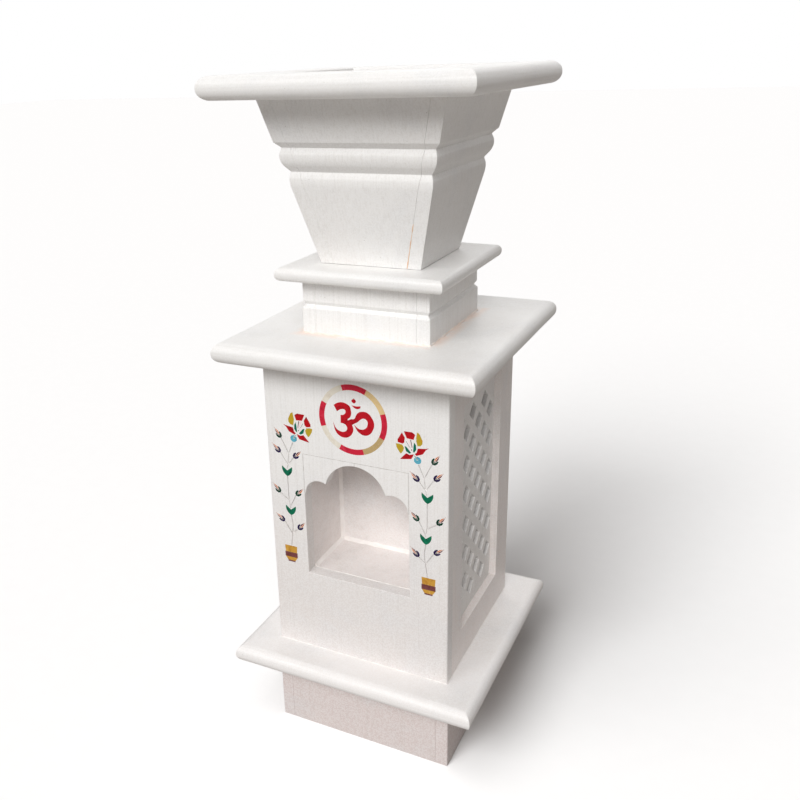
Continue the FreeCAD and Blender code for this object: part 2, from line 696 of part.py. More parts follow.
def leaf_pair(sheet, foot_shares):
    """Two leaves joined at their foot, with a notch between them."""
    foot = plant_point(sheet, *foot_shares)
    notch = foot + Vector(0, 0, LEAF_NOTCH_SHARE * sheet.leaf_rise)
    edges = []
    for way in (1, -1):
        tip = foot + Vector(way * sheet.leaf_span / 2, 0, sheet.leaf_rise)
        swell = beside(tip - foot) * way * LEAF_SWELL_SHARE
        edges.append(through(foot, (foot + tip) / 2 + swell, tip))
        edges.append(Part.makeLine(tip, notch))
    return chip(sheet, edges)


def stem(sheet, start, end):
    """A thin straight chip between two points."""
    half = beside((end - start).normalize()) * sheet.stem_width / 2
    return chip(sheet, straight_edges([start + half, end + half, end - half, start - half]))


def stem_run(sheet, points):
    """Straight chips from point to point."""
    return [stem(sheet, start, end) for start, end in zip(points, points[1:])]


def stems(sheet):
    """The stem from vase to fork, broken by the leaves, with its twigs and the flower's stalk."""
    gap = Vector(0, 0, sheet.inlay_gap)
    above_notch = Vector(0, 0, LEAF_NOTCH_SHARE * sheet.leaf_rise + sheet.stem_width) + gap
    vase_head = plant_point(sheet, STEM_FOOT_SHARE, 0) + Vector(0, 0, sheet.vase_rise) + gap
    leaf_feet = [plant_point(sheet, *shares) for shares in LEAF_FOOT_SHARES]
    low_bends = [plant_point(sheet, *shares) for shares in LOW_BEND_SHARES]
    middle_bend, twin_twigs, fork = [
        plant_point(sheet, *shares) for shares in (MIDDLE_BEND_SHARES, TWIN_TWIG_SHARES, FORK_SHARES)
    ]
    stalk_head = flower_point(sheet, *STALK_HEAD_SHARES)
    chips = stem_run(sheet, [vase_head, *low_bends, leaf_feet[0] - gap])
    chips += stem_run(sheet, [leaf_feet[0] + above_notch, middle_bend, leaf_feet[1] - gap])
    chips += stem_run(sheet, [leaf_feet[1] + above_notch, twin_twigs, fork, stalk_head])
    for place, leaving, turn in GREEN_BUD_SHARES + PLUM_BUD_SHARES:
        cup_foot = plant_point(sheet, *place) - toward(turn) * (bud_half(sheet) + sheet.inlay_gap)
        chips.append(stem(sheet, plant_point(sheet, *leaving), cup_foot))
    return chips[0].fuse(chips[1:]).removeSplitter()


def vase_chips(sheet, shares):
    """Chips of the vase, each between two levels and with straight slanting sides."""
    middle = plant_point(sheet, 0, 0)
    chips = []
    for foot, head, foot_width, head_width in shares:
        corners = []
        for level, width, way in ((foot, foot_width, -1), (foot, foot_width, 1), (head, head_width, 1),
                                  (head, head_width, -1)):
            place = Vector(way * width * sheet.vase_width / 2, 0, level * sheet.vase_rise)
            corners.append(middle + place)
        chips.append(chip(sheet, straight_edges(corners)))
    return chips


def plant_chips(sheet):
    """The chips of the right-hand plant, by the name of what they show."""
    one_side, other_side = (1,), (-1,)
    both = one_side + other_side
    buds = GREEN_BUD_SHARES + PLUM_BUD_SHARES
    chips = {name: flower_chips(sheet, name) for name in FLOWER_SHARES}
    chips |= {
        "stems": [stems(sheet)],
        "leaves": [leaf_pair(sheet, shares) for shares in LEAF_FOOT_SHARES],
        "green_bud_cups": bud_chips(sheet, GREEN_BUD_SHARES, CUP_SIDE_SHARES, both),
        "plum_bud_cups": bud_chips(sheet, PLUM_BUD_SHARES, CUP_SIDE_SHARES, both),
        "bud_hearts": bud_chips(sheet, buds, HEART_SHARES, one_side),
        "bud_tips": bud_chips(sheet, buds, FLAME_SIDE_SHARES, one_side),
        "bud_gold_tips": bud_chips(sheet, buds, FLAME_SIDE_SHARES, other_side),
        "vase_gold": vase_chips(sheet, VASE_GOLD_SHARES),
        "vase_bands": vase_chips(sheet, VASE_PLUM_SHARES),
    }
    return chips


def ring_chips(sheet):
    """The segments of the ring over the arch: red ones, and cream ones between them."""
    radius = (sheet.brow_rise - sheet.ring_foot_gap - sheet.ring_head_gap) / 2
    level = sheet.niche_sill + sheet.opening_rise + sheet.ring_foot_gap + radius
    gap = math.degrees(sheet.inlay_gap / radius)
    pitch = 360 / RED_SEGMENTS
    chips = {"ring_red_segments": [], "ring_cream_segments": []}
    for number in range(RED_SEGMENTS):
        middle = RING_TURN_DEGREES + number * pitch
        for name, turn, spread in (
            ("ring_red_segments", middle, RED_SEGMENT_DEGREES),
            ("ring_cream_segments", middle + pitch / 2, pitch - RED_SEGMENT_DEGREES),
        ):
            turns = [turn + way * (spread - gap) / 2 for way in (-1, 0, 1)]
            rims = [
                [Vector(0, 0, level) + toward(item) * reach for item in turns]
                for reach in (radius, radius - sheet.ring_width)
            ]
            edges = [through(*rim_points) for rim_points in rims]
            edges += [Part.makeLine(rims[0][place], rims[1][place]) for place in (0, -1)]
            chips[name].append(chip(sheet, edges))
    return chips


def inlay(doc, sheet):
    """The inlaid chips in the front panel, those of one stone on one side together."""
    plant = plant_chips(sheet)
    shapes = {label: Part.makeCompound(chips) for label, chips in ring_chips(sheet).items()}
    for name, chips in plant.items():
        right = Part.makeCompound(chips)
        shapes[f"right_{name}"] = right
        shapes[f"left_{name}"] = right.mirror(Vector(0, 0, 0), Vector(1, 0, 0))
    pieces = []
    for label, shape in shapes.items():
        piece = doc.addObject("Part::Feature", label)
        piece.Label = label
        piece.Shape = shape
        piece.setExpression("Placement.Base.y", "-Sizes.body_side / 2")
        piece.setExpression("Placement.Base.z", BODY_LEVEL)
        pieces.append(piece)
    doc.recompute()
    return pieces


def front_panel(doc, panel, chips):
    """The front panel with a shallow pocket for every chip."""
    pockets = doc.addObject("Part::Compound", "inlay_pockets")
    pockets.Links = chips
    front = doc.addObject("Part::Cut", "body_front_panel")
    front.Label = "body_front_panel"
    front.Base = panel
    front.Tool = pockets
    doc.recompute()
    return front


def write_pieces(doc, pieces):
    """Check the whole document, then write one file for each piece."""
    doc.recompute()
    for item in doc.Objects:
        if "Invalid" in item.State or "Error" in item.State:
            raise RuntimeError(f"{item.Label} did not build: {item.State}")
    for piece in pieces:
        if piece.Shape.isNull() or not piece.Shape.isValid():
            raise RuntimeError(f"{piece.Label} has no valid shape")
    os.makedirs("parts", exist_ok=True)
    for piece in pieces:
        piece.Shape.exportStep(f"parts/{piece.Label}.step")
        print(piece.Label, len(piece.Shape.Solids), round(piece.Shape.Volume))


def main():
    """Build the whole planter and write one file for each piece."""
    doc = FreeCAD.newDocument("tulsi_planter")
    sheet = fill_sheet(doc)
    walls = body_walls(doc)
    chips = inlay(doc, sheet)
    pieces = plinth(doc) + neck(doc) + pot(doc) + lining(doc) + screens(doc) + chips
    pieces += [walls["back"], walls["left"], walls["right"], front_panel(doc, walls["front"], chips)]
    pieces += [
        nosed_slab(doc, "base_slab", BASE_LEVEL, "Sizes.base_side", "Sizes.base_thick"),
        nosed_slab(doc, "top_slab", CAP_LEVEL, "Sizes.cap_side", "Sizes.cap_thick"),
        nosed_slab(doc, "ledge_slab", LEDGE_LEVEL, "Sizes.ledge_side", "Sizes.ledge_thick"),
        rim(doc),
        arch_insert(doc),
    ]
    write_pieces(doc, pieces)


main()
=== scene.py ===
"""White marble tulsi vrindavan planter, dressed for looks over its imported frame.

Every stone of the frame gets a worked copy with softened arrises and a marble finish. The inlay's
chips are cut a little fuller than their pockets, with one finish for each stone. The symbol in the
ring, the cement in the niche and the adhesive in the joints are made here.
"""

import logging
import math
import random
from contextlib import contextmanager
from dataclasses import dataclass
from enum import Enum
from typing import Callable, Iterable, Iterator, Mapping, Sequence, Union

import bpy
from mathutils import Matrix, Vector


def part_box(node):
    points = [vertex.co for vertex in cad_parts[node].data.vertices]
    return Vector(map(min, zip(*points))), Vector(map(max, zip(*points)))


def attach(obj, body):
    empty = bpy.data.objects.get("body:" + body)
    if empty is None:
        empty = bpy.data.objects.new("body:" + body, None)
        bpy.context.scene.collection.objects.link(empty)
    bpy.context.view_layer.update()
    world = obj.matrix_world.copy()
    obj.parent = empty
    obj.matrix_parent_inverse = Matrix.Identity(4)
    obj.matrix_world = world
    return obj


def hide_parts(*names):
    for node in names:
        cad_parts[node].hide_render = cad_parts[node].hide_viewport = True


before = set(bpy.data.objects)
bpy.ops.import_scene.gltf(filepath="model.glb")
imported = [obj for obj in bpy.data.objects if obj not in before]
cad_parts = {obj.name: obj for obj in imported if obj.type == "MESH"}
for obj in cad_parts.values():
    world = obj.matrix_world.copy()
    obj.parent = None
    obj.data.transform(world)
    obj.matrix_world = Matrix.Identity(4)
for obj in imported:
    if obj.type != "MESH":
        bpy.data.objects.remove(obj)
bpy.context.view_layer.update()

LOG = logging.getLogger("planter")
PHOTO_SIDE = 800
MM = 0.001
BODY = "root"

Colour = tuple[int, int, int]
Triple = tuple[float, float, float]
Point = tuple[float, float]
Outline = Sequence[tuple[float, ...]]
Piece = bpy.types.Object
EdgeTest = Callable[[Vector, Vector], bool]


def linear(colour: Colour) -> tuple[float, float, float, float]:
    """Turn a display colour into the linear one that a shader takes.

    Args:
        colour: Red, green and blue from 0 to 255.

    Returns:
        The same colour as linear shares, with full alpha.
    """
    shares = [value / 255 for value in colour]
    parts = [share / 12.92 if share <= 0.04045 else ((share + 0.055) / 1.055) ** 2.4 for share in shares]
    return (parts[0], parts[1], parts[2], 1.0)


class Wire:
    """An output socket that stands in Python expressions."""

    def __init__(self, recipe: "Recipe", socket: bpy.types.NodeSocket) -> None:
        """Keep the socket and the recipe that it belongs to."""
        self.recipe = recipe
        self.socket = socket

    def _maths(self, operation: str, first: "Value", second: "Value") -> "Wire":
        """Add one Math node."""
        return self.recipe.make("ShaderNodeMath", {"operation": operation}, {0: first, 1: second})

    def __add__(self, other: "Value") -> "Wire":
        """Sum."""
        return self._maths("ADD", self, other)

    def __radd__(self, other: "Value") -> "Wire":
        """Sum with a number on the left."""
        return self._maths("ADD", other, self)

    def __sub__(self, other: "Value") -> "Wire":
        """Difference."""
        return self._maths("SUBTRACT", self, other)

    def __rsub__(self, other: "Value") -> "Wire":
        """Difference with a number on the left."""
        return self._maths("SUBTRACT", other, self)

    def __mul__(self, other: "Value") -> "Wire":
        """Product."""
        return self._maths("MULTIPLY", self, other)

    def __rmul__(self, other: "Value") -> "Wire":
        """Product with a number on the left."""
        return self._maths("MULTIPLY", other, self)

    def size(self) -> "Wire":
        """The value without its sign."""
        return self._maths("ABSOLUTE", self, 0.0)

    def larger(self, other: "Value") -> "Wire":
        """The larger of two values."""
        return self._maths("MAXIMUM", self, other)

    def spread(self, low: float, high: float) -> "Wire":
        """Ease this value from 0 at low to 1 at high.

        Args:
            low: Value that gives 0. It may be the larger one, which turns the ramp round.
            high: Value that gives 1.

        Returns:
            The eased value.
        """
        settings = {"interpolation_type": "SMOOTHSTEP"}
        if low < high:
            return self.recipe.make("ShaderNodeMapRange", settings, {"Value": self, 1: low, 2: high})
        return 1 - self.recipe.make("ShaderNodeMapRange", settings, {"Value": self, 1: high, 2: low})


Value = Union[Wire, float, int, Sequence[float]]


class Recipe:
    """One material's node tree, written as expressions."""

    def __init__(self, name: str) -> None:
        """Start a material with an empty principled shader.

        Args:
            name: The material's name.
        """
        self.material = bpy.data.materials.new(name)
        self.material.use_nodes = True
        self.tree = self.material.node_tree
        self.shader = self.tree.nodes["Principled BSDF"]

    def make(
        self,
        kind: str,
        settings: Mapping[str, object],
        sockets: Mapping[Union[str, int], Value],
        output: Union[str, int] = 0,
    ) -> Wire:
        """Add a node.

        Args:
            kind: The node's type.
            settings: Its properties, set before its sockets.
            sockets: Values or wires for its inputs, by name or number.
            output: Which output to return.

        Returns:
            The chosen output as a wire.
        """
        node = self.tree.nodes.new(kind)
        for key, value in settings.items():
            setattr(node, key, value)
        for key, value in sockets.items():
            self.feed(node.inputs[key], value)
        return Wire(self, node.outputs[output])

    def feed(self, socket: bpy.types.NodeSocket, value: Value) -> None:
        """Link a wire to a socket, or set its value.

        Args:
            socket: The input socket.
            value: A wire, or a plain value.
        """
        if isinstance(value, Wire):
            self.tree.links.new(value.socket, socket)
        else:
            socket.default_value = value

    def place(self, offset: Triple = (0, 0, 0), scale: Triple = (1, 1, 1)) -> Wire:
        """The piece's own coordinates, moved and scaled.

        Args:
            offset: Where in the block the piece was cut, in metres.
            scale: Stretch along each axis.

        Returns:
            A vector wire.
        """
        here = self.make("ShaderNodeTexCoord", {}, {}, "Object")
        return self.make("ShaderNodeMapping", {}, {"Vector": here, "Location": offset, "Scale": scale})

    def noise(self, where: Wire, scale: float, detail: float = 3.0, rough: float = 0.5, warp: float = 0.0) -> Wire:
        """A soft random value from 0 to 1.

        Args:
            where: Vector to read.
            scale: Cycles in a metre.
            detail: Octaves.
            rough: Share of each finer octave.
            warp: How far the pattern is pulled about.

        Returns:
            A value wire.
        """
        sockets = {"Vector": where, "Scale": scale, "Detail": detail, "Roughness": rough, "Distortion": warp}
        return self.make("ShaderNodeTexNoise", {}, sockets, "Fac")

    def cells(self, where: Wire, scale: float, output: str = "Distance") -> Wire:
        """Distance to the nearest of many scattered points, or that point's own random colour.

        Args:
            where: Vector to read.
            scale: Points along a metre.
            output: "Distance" or "Color".

        Returns:
            The chosen wire.
        """
        return self.make("ShaderNodeTexVoronoi", {}, {"Vector": where, "Scale": scale}, output)

    def axis(self, name: str) -> Wire:
        """One of the piece's own coordinates, in metres."""
        here = self.make("ShaderNodeTexCoord", {}, {}, "Object")
        return self.make("ShaderNodeSeparateXYZ", {}, {"Vector": here}, name)

    def grey(self, colour: Wire) -> Wire:
        """A colour's brightness as a value."""
        return self.make("ShaderNodeRGBToBW", {}, {"Color": colour})

    def mix(self, share: Value, first: Union[Wire, Colour], second: Union[Wire, Colour]) -> Wire:
        """Blend two colours.

        Args:
            share: How much of the second.
            first: Colour or wire.
            second: Colour or wire.

        Returns:
            A colour wire.
        """
        ends = [item if isinstance(item, Wire) else linear(item) for item in (first, second)]
        return self.make("ShaderNodeMix", {"data_type": "RGBA"}, {0: share, 6: ends[0], 7: ends[1]}, 2)

    def bump(self, height: Value, depth: float, strength: float = 1.0) -> Wire:
        """A normal that follows a height.

        Args:
            height: Height from 0 to 1.
            depth: What 1 stands for, in metres.
            strength: Share of the effect.

        Returns:
            A normal wire.
        """
        return self.make("ShaderNodeBump", {}, {"Height": height, "Distance": depth, "Strength": strength}, "Normal")

    def surface(self, **sockets: Value) -> bpy.types.Material:
        """Feed the principled shader and return the material.

        Args:
            sockets: Inputs by name, with underscores for spaces.

        Returns:
            The finished material.
        """
        for key, value in sockets.items():
            self.feed(self.shader.inputs[key.replace("_", " ")], value)
        return self.material


class Sawing(Enum):
    """Which way the saw's fine streaks run on a stone."""

    UPRIGHT = (420.0, 420.0, 7.0)
    LEVEL = (7.0, 7.0, 420.0)
    NONE = (60.0, 60.0, 60.0)


@dataclass(frozen=True)
class Marble:
    """White marble with a sugary grain, faint clouds, the marks of the saw and painted shade that darkens it lower
    down.
    """

    name: str
    block: Triple
    sawing: Sawing = Sawing.UPRIGHT
    tone: Colour = (243, 242, 240)
    cloud: Colour = (222, 224, 227)
    warm: Colour = (238, 226, 219)
    # Painted shade: lower down, between the two heights below, the tone darkens towards the foot colour, standing in
    # for light that falls off towards the bottom.
    foot: Colour = (238, 236, 233)
    foot_shade_from: float = 0.52
    foot_shade_to: float = 0.12
    smear_round: float = 0.0
    smear: Colour = (245, 226, 214)
    cloudy: float = 0.6
    warmth: float = 0.3
    streak: Colour = (190, 184, 176)
    crystal: Colour = (252, 252, 252)
    sugar: Colour = (190, 190, 193)
    fleck: Colour = (255, 255, 255)
    pit: Colour = (150, 142, 134)
    roughness: float = 0.42
    relief: float = 0.09 * MM
    bending: float = 1.49

    def material(self) -> bpy.types.Material:
        """Write the marble's node tree.

        Returns:
            The finished material.
        """
        recipe = Recipe(self.name)
        here = recipe.place(self.block)
        elsewhere = recipe.place((self.block[2], self.block[0], self.block[1]))
        clouds = recipe.noise(here, 9.0, detail=5.0, rough=0.6, warp=0.8).spread(0.46, 0.72)
        drift = recipe.noise(elsewhere, 5.0, detail=2.0).spread(0.45, 0.75)
        streaks = recipe.noise(recipe.place(self.block, self.sawing.value), 1.0, detail=4.0, rough=0.65)
        crystals = recipe.grey(recipe.cells(here, 620.0, "Color"))
        sugar = recipe.noise(here, 900.0, detail=2.0, rough=0.7)
        flecks = recipe.cells(here, 210.0).spread(0.16, 0.08) * recipe.noise(here, 40.0).spread(0.5, 0.7)
        pits = recipe.cells(here, 120.0).spread(0.07, 0.035) * recipe.noise(here, 55.0).spread(0.52, 0.62)
        # Painted shade: the tone darkens towards the foot colour lower down the piece.
        ground = recipe.mix(recipe.axis("Z").spread(self.foot_shade_from, self.foot_shade_to), self.tone, self.foot)
        ground = recipe.mix(clouds * self.cloudy, ground, recipe.mix(0.5, ground, self.cloud))
        ground = recipe.mix(drift * self.warmth, ground, recipe.mix(0.5, ground, self.warm))
        ground = recipe.mix(streaks.spread(0.42, 0.72) * 0.5, ground, recipe.mix(0.35, ground, self.streak))
        ground = recipe.mix(crystals.spread(0.3, 0.75) * 0.3, ground, self.crystal)
        ground = recipe.mix(sugar.spread(0.45, 0.75) * 0.3, ground, recipe.mix(0.5, ground, self.sugar))
        ground = recipe.mix(flecks * 0.8, ground, self.fleck)
        ground = recipe.mix(pits * 0.7, ground, self.pit)
        if self.smear_round:
            away = recipe.axis("X").size().larger(recipe.axis("Y").size()) - self.smear_round
            patchy = recipe.noise(here, 35.0, detail=4.0, rough=0.6).spread(0.3, 0.55)
            ground = recipe.mix(away.spread(20 * MM, 2 * MM) * patchy * 0.9, ground, self.smear)
        height = crystals * 0.25 + streaks * 0.6 + sugar * 0.3 - pits * 1.5
        return recipe.surface(
            Base_Color=ground,
            Roughness=self.roughness + streaks * 0.12 - crystals * 0.08,
            Normal=recipe.bump(height, self.relief, 0.7),
            IOR=self.bending,
        )


@dataclass(frozen=True)
class InlayStone:
    """A coloured stone, cut thin, let in and rubbed down with the marble."""

    name: str
    tone: Colour
    shade: Colour
    gleam: Colour
    dust: Colour = (250, 245, 240)
    roughness: float = 0.3
    relief: float = 0.04 * MM

    def material(self) -> bpy.types.Material:
        """Write the stone's node tree.

        Returns:
            The finished material.
        """
        recipe = Recipe(self.name)
        here = recipe.place()
        bands = recipe.noise(here, 85.0, rough=0.6, warp=1.4)
        grain = recipe.noise(here, 900.0, rough=0.7)
        ground = recipe.mix(bands.spread(0.48, 0.72) * 0.75, self.tone, self.shade)
        ground = recipe.mix(bands.spread(0.44, 0.26) * 0.55, ground, self.gleam)
        ground = recipe.mix(grain.spread(0.55, 0.85) * 0.08, ground, self.dust)
        return recipe.surface(
            Base_Color=ground,
            Roughness=self.roughness + grain * 0.15,
            Normal=recipe.bump(grain, self.relief, 0.5),
            Specular_IOR_Level=0.2,
        )


@dataclass(frozen=True)
class RingStone:
    """The ring's pale stone: nearly white at the left, gold at the upper right, tan at the lower right."""

    name: str
    pale: Colour
    gold: Colour
    tan: Colour
    level: float
    band: Colour = (160, 128, 84)
    dust: Colour = (250, 245, 236)
    reach: float = 16 * MM
    roughness: float = 0.34
    relief: float = 0.04 * MM

    def material(self) -> bpy.types.Material:
        """Write the stone's node tree.

        Returns:
            The finished material.
        """
        recipe = Recipe(self.name)
        here = recipe.place()
        grain = recipe.noise(here, 700.0, rough=0.7)
        bands = recipe.noise(here, 70.0, rough=0.6, warp=1.0)
        lower = recipe.axis("Z").spread(self.level + self.reach, self.level - self.reach)
        warm = recipe.mix(lower, self.gold, self.tan)
        ground = recipe.mix(recipe.axis("X").spread(-self.reach, self.reach), self.pale, warm)
        ground = recipe.mix(bands.spread(0.45, 0.7) * 0.5, ground, recipe.mix(0.4, ground, self.band))
        ground = recipe.mix(grain.spread(0.5, 0.8) * 0.3, ground, self.dust)
        return recipe.surface(
            Base_Color=ground,
            Roughness=self.roughness + grain * 0.15,
            Normal=recipe.bump(grain, self.relief, 0.5),
            Specular_IOR_Level=0.25,
        )


@dataclass(frozen=True)
class Mortar:
    """Cement or adhesive: a matt, grainy fill."""

    name: str
    tone: Colour
    shade: Colour
    roughness: float = 0.85
    dust: Colour = (255, 252, 246)
    grit: float = 0.25 * MM

    def material(self) -> bpy.types.Material:
        """Write the fill's node tree.

        Returns:
            The finished material.
        """
        recipe = Recipe(self.name)
        here = recipe.place()
        patches = recipe.noise(here, 60.0, detail=4.0, rough=0.6)
        grains = recipe.noise(here, 1100.0, rough=0.75)
        ground = recipe.mix(patches.spread(0.35, 0.7), self.tone, self.shade)
        ground = recipe.mix(grains.spread(0.5, 0.8) * 0.3, ground, self.dust)
        return recipe.surface(
            Base_Color=ground,
            Roughness=self.roughness - grains * 0.1,
            Normal=recipe.bump(grains * 0.6 + patches, self.grit, 0.8),
        )


class Bench:
    """The workbench: selects pieces and runs the modelling operators on them."""

    WELD = 0.004 * MM
    LEVEL_ANGLE = math.radians(0.4)
    SHARP_ANGLE = math.radians(28)

    @staticmethod
    def take(piece: Piece) -> None:
        """Make a piece the only selected and the active one.

        Args:
            piece: The piece.
        """
        bpy.ops.object.select_all(action="DESELECT")
        piece.select_set(True)
        bpy.context.view_layer.objects.active = piece

    @staticmethod
    @contextmanager
    def editing(piece: Piece) -> Iterator[None]:
        """Open a piece in edit mode with all of it selected, and close it at the end.

        Args:
            piece: The piece.

        Yields:
            Nothing.
        """
        Bench.take(piece)
        bpy.ops.object.mode_set(mode="EDIT")
        bpy.ops.mesh.select_all(action="SELECT")
        yield
        bpy.ops.object.mode_set(mode="OBJECT")

    @staticmethod
    def copy(node: str, name: str) -> Piece:
        """Copy a frame node's mesh into a new piece and weld it into plain faces.

        Args:
            node: The frame node.
            name: The new piece's name.

        Returns:
            The welded copy, at the origin.
        """
        piece = bpy.data.objects.new(name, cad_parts[node].data.copy())
        bpy.context.scene.collection.objects.link(piece)
        piece.data.materials.clear()
        Bench.take(piece)
        bpy.ops.mesh.customdata_custom_splitnormals_clear()
        with Bench.editing(piece):
            bpy.ops.mesh.remove_doubles(threshold=Bench.WELD)
            bpy.ops.mesh.dissolve_limited(angle_limit=Bench.LEVEL_ANGLE)
        return piece

    @staticmethod
    def from_curve(name: str, curve: bpy.types.Curve) -> Piece:
        """Turn a curve into a piece.

        Args:
            name: The piece's name.
            curve: The curve.

        Returns:
            The mesh piece, selected and active.
        """
        piece = bpy.data.objects.new(name, curve)
        bpy.context.scene.collection.objects.link(piece)
        Bench.take(piece)
        bpy.ops.object.convert(target="MESH")
        return piece

    @staticmethod
    def modify(piece: Piece, kind: str, **settings: object) -> None:
        """Add a modifier to a piece and apply it.

        Args:
            piece: The piece.
            kind: The modifier's type.
            settings: Its properties.
        """
        Bench.take(piece)
        modifier = piece.modifiers.new(kind.title(), kind)
        for key, value in settings.items():
            setattr(modifier, key, value)
        bpy.ops.object.modifier_apply(modifier=modifier.name)

    @staticmethod
    def fatten(piece: Piece, amount: float) -> None:
        """Push all of a piece's faces out by the same amount, with its corners kept crisp.

        Args:
            piece: The piece.
            amount: How far each face moves.
        """
        with Bench.editing(piece):
            bpy.ops.transform.shrink_fatten(value=amount, use_even_offset=True)

    @staticmethod
    def soften(piece: Piece, width: float, chosen: EdgeTest, segments: int = 2) -> None:
        """Round the sharp edges that a test picks.

        Args:
            piece: The piece.
            width: Width of the rounding.
            chosen: Takes an edge's two ends and says whether it is worked.
            segments: Steps across the rounding.
        """
        mesh = piece.data
        normals: dict[tuple[int, int], list[Vector]] = {}
        for face in mesh.polygons:
            for key in face.edge_keys:
                normals.setdefault(key, []).append(face.normal)
        weights = mesh.attributes.new("bevel_weight_edge", "FLOAT", "EDGE")
        for edge in mesh.edges:
            sides = normals.get(edge.key, [])
            sharp = len(sides) == 2 and sides[0].angle(sides[1], 0.0) > Bench.SHARP_ANGLE
            ends = [mesh.vertices[index].co for index in edge.vertices]
            weights.data[edge.index].value = 1.0 if sharp and chosen(*ends) else 0.0
        Bench.modify(
            piece,
            "BEVEL",
            width=width,
            segments=segments,
            limit_method="WEIGHT",
            use_clamp_overlap=False,
            miter_outer="MITER_SHARP",
        )

    @staticmethod
    def cut_grid(piece: Piece, step: float) -> None:
        """Cut a piece's faces into a grid so that they can be worn.

        Args:
            piece: The piece.
            step: Distance between cuts.
        """
        corners = [Vector(corner) for corner in piece.bound_box]
        low = Vector(min(corner[axis] for corner in corners) for axis in range(3))
        high = Vector(max(corner[axis] for corner in corners) for axis in range(3))
        with Bench.editing(piece):
            for axis in range(3):
                count = int((high[axis] - low[axis]) / step)
                normal = [0.0, 0.0, 0.0]
                normal[axis] = 1.0
                for index in range(1, count):
                    middle = (low + high) / 2
                    middle[axis] = low[axis] + (high[axis] - low[axis]) * index / count
                    bpy.ops.mesh.select_all(action="SELECT")
                    bpy.ops.mesh.bisect(plane_co=middle, plane_no=normal)

    @staticmethod
    def wear(piece: Piece, depth: float, size: float, seed: float) -> None:
        """Take a little off a piece's surface, never adding to it.

        Args:
            piece: The piece, already cut into a grid.
            depth: Most that is taken off.
            size: Size of the hollows.
            seed: Shift of the pattern.
        """
        texture = bpy.data.textures.new(f"{piece.name}_wear", "CLOUDS")
        texture.noise_scale = size
        texture.noise_depth = 1
        anchor = bpy.data.objects.new(f"{piece.name}_wear_place", None)
        bpy.context.scene.collection.objects.link(anchor)
        anchor.location = (seed, -seed, seed / 2)
        bpy.context.view_layer.update()
        Bench.modify(
            piece,
            "DISPLACE",
            texture=texture,
            strength=depth,
            mid_level=1.0,
            texture_coords="OBJECT",
            texture_coords_object=anchor,
        )
        bpy.data.objects.remove(anchor)
        bpy.data.textures.remove(texture)

    @staticmethod
    def settle(piece: Piece, angle: float = 50.0) -> None:
        """Shade a piece smoothly while its flats stay flat.

        Args:
            piece: The piece.
            angle: Edges sharper than this stay crisp, in degrees.
        """
        Bench.take(piece)
        bpy.ops.object.shade_smooth_by_angle(angle=math.radians(angle))
        Bench.modify(piece, "WEIGHTED_NORMAL", mode="FACE_AREA", weight=50, keep_sharp=True)

    @staticmethod
    def dress(piece: Piece, material: bpy.types.Material, slot: str, nodes: Iterable[str] = ()) -> Piece:
        """Give a finished piece its material, hang it under the body and hide the frame nodes that it stands for.

        Args:
            piece: The piece.
            material: Its finish.
            slot: Not used.
            nodes: Frame nodes that it stands for.

        Returns:
            The piece.
        """
        piece.data.materials.append(material)
        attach(piece, BODY)
        names = list(nodes)
        if names:
            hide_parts(*names)
        LOG.info("%s: %d faces%s", piece.name, len(piece.data.polygons), f" for {', '.join(names)}" if names else "")
        return piece


def every_edge(start: Vector, end: Vector) -> bool:
    """Pick any edge at all."""
    return True


@dataclass
class Course:
    """One course of the pillar, made of stones that stand for the frame's nodes."""

    finish: Marble
    arris: float = 0.7 * MM
    hollow: float = 70 * MM
    hollow_shift: float = 0.37

    def __post_init__(self) -> None:
        """Mix the finish once for the whole course."""
        self.material = self.finish.material()

    def build(self) -> list[Piece]:
        """Work the course's stones, which each kind of course does in its own way."""
        raise NotImplementedError

    def stone(self, node: str, chosen: EdgeTest = every_edge, grid: float = 0.0, wear: float = 0.0) -> Piece:
        """Work one stone from its node.

        Args:
            node: The frame node.
            chosen: Picks the edges that are rounded.
            grid: Distance between the cuts for wear, or 0 for none.
            wear: Most that wear takes off.

        Returns:
            The dressed stone.
        """
        piece = Bench.copy(node, f"{node}_stone")
        Bench.soften(piece, self.arris, chosen)
        if grid:
            Bench.cut_grid(piece, grid)
            Bench.wear(piece, wear, self.hollow, len(node) * self.hollow_shift)
        Bench.settle(piece)
        return Bench.dress(piece, self.material, "marble", [node])


@dataclass
class Panels(Course):
    """A course of four upright panels round a hollow."""

    prefix: str = "plinth"

    def build(self) -> list[Piece]:
        """Work the four panels."""
        return [self.stone(f"{self.prefix}_{side}_panel") for side in ("front", "back", "left", "right")]


@dataclass
class Slab(Course):
    """A level slab with a nosed edge, a little uneven from the grinding."""

    node: str = "base_slab"
    grid: float = 24 * MM
    wear: float = 0.7 * MM

    def build(self) -> list[Piece]:
        """Work the slab."""
        return [self.stone(self.node, grid=self.grid, wear=self.wear)]


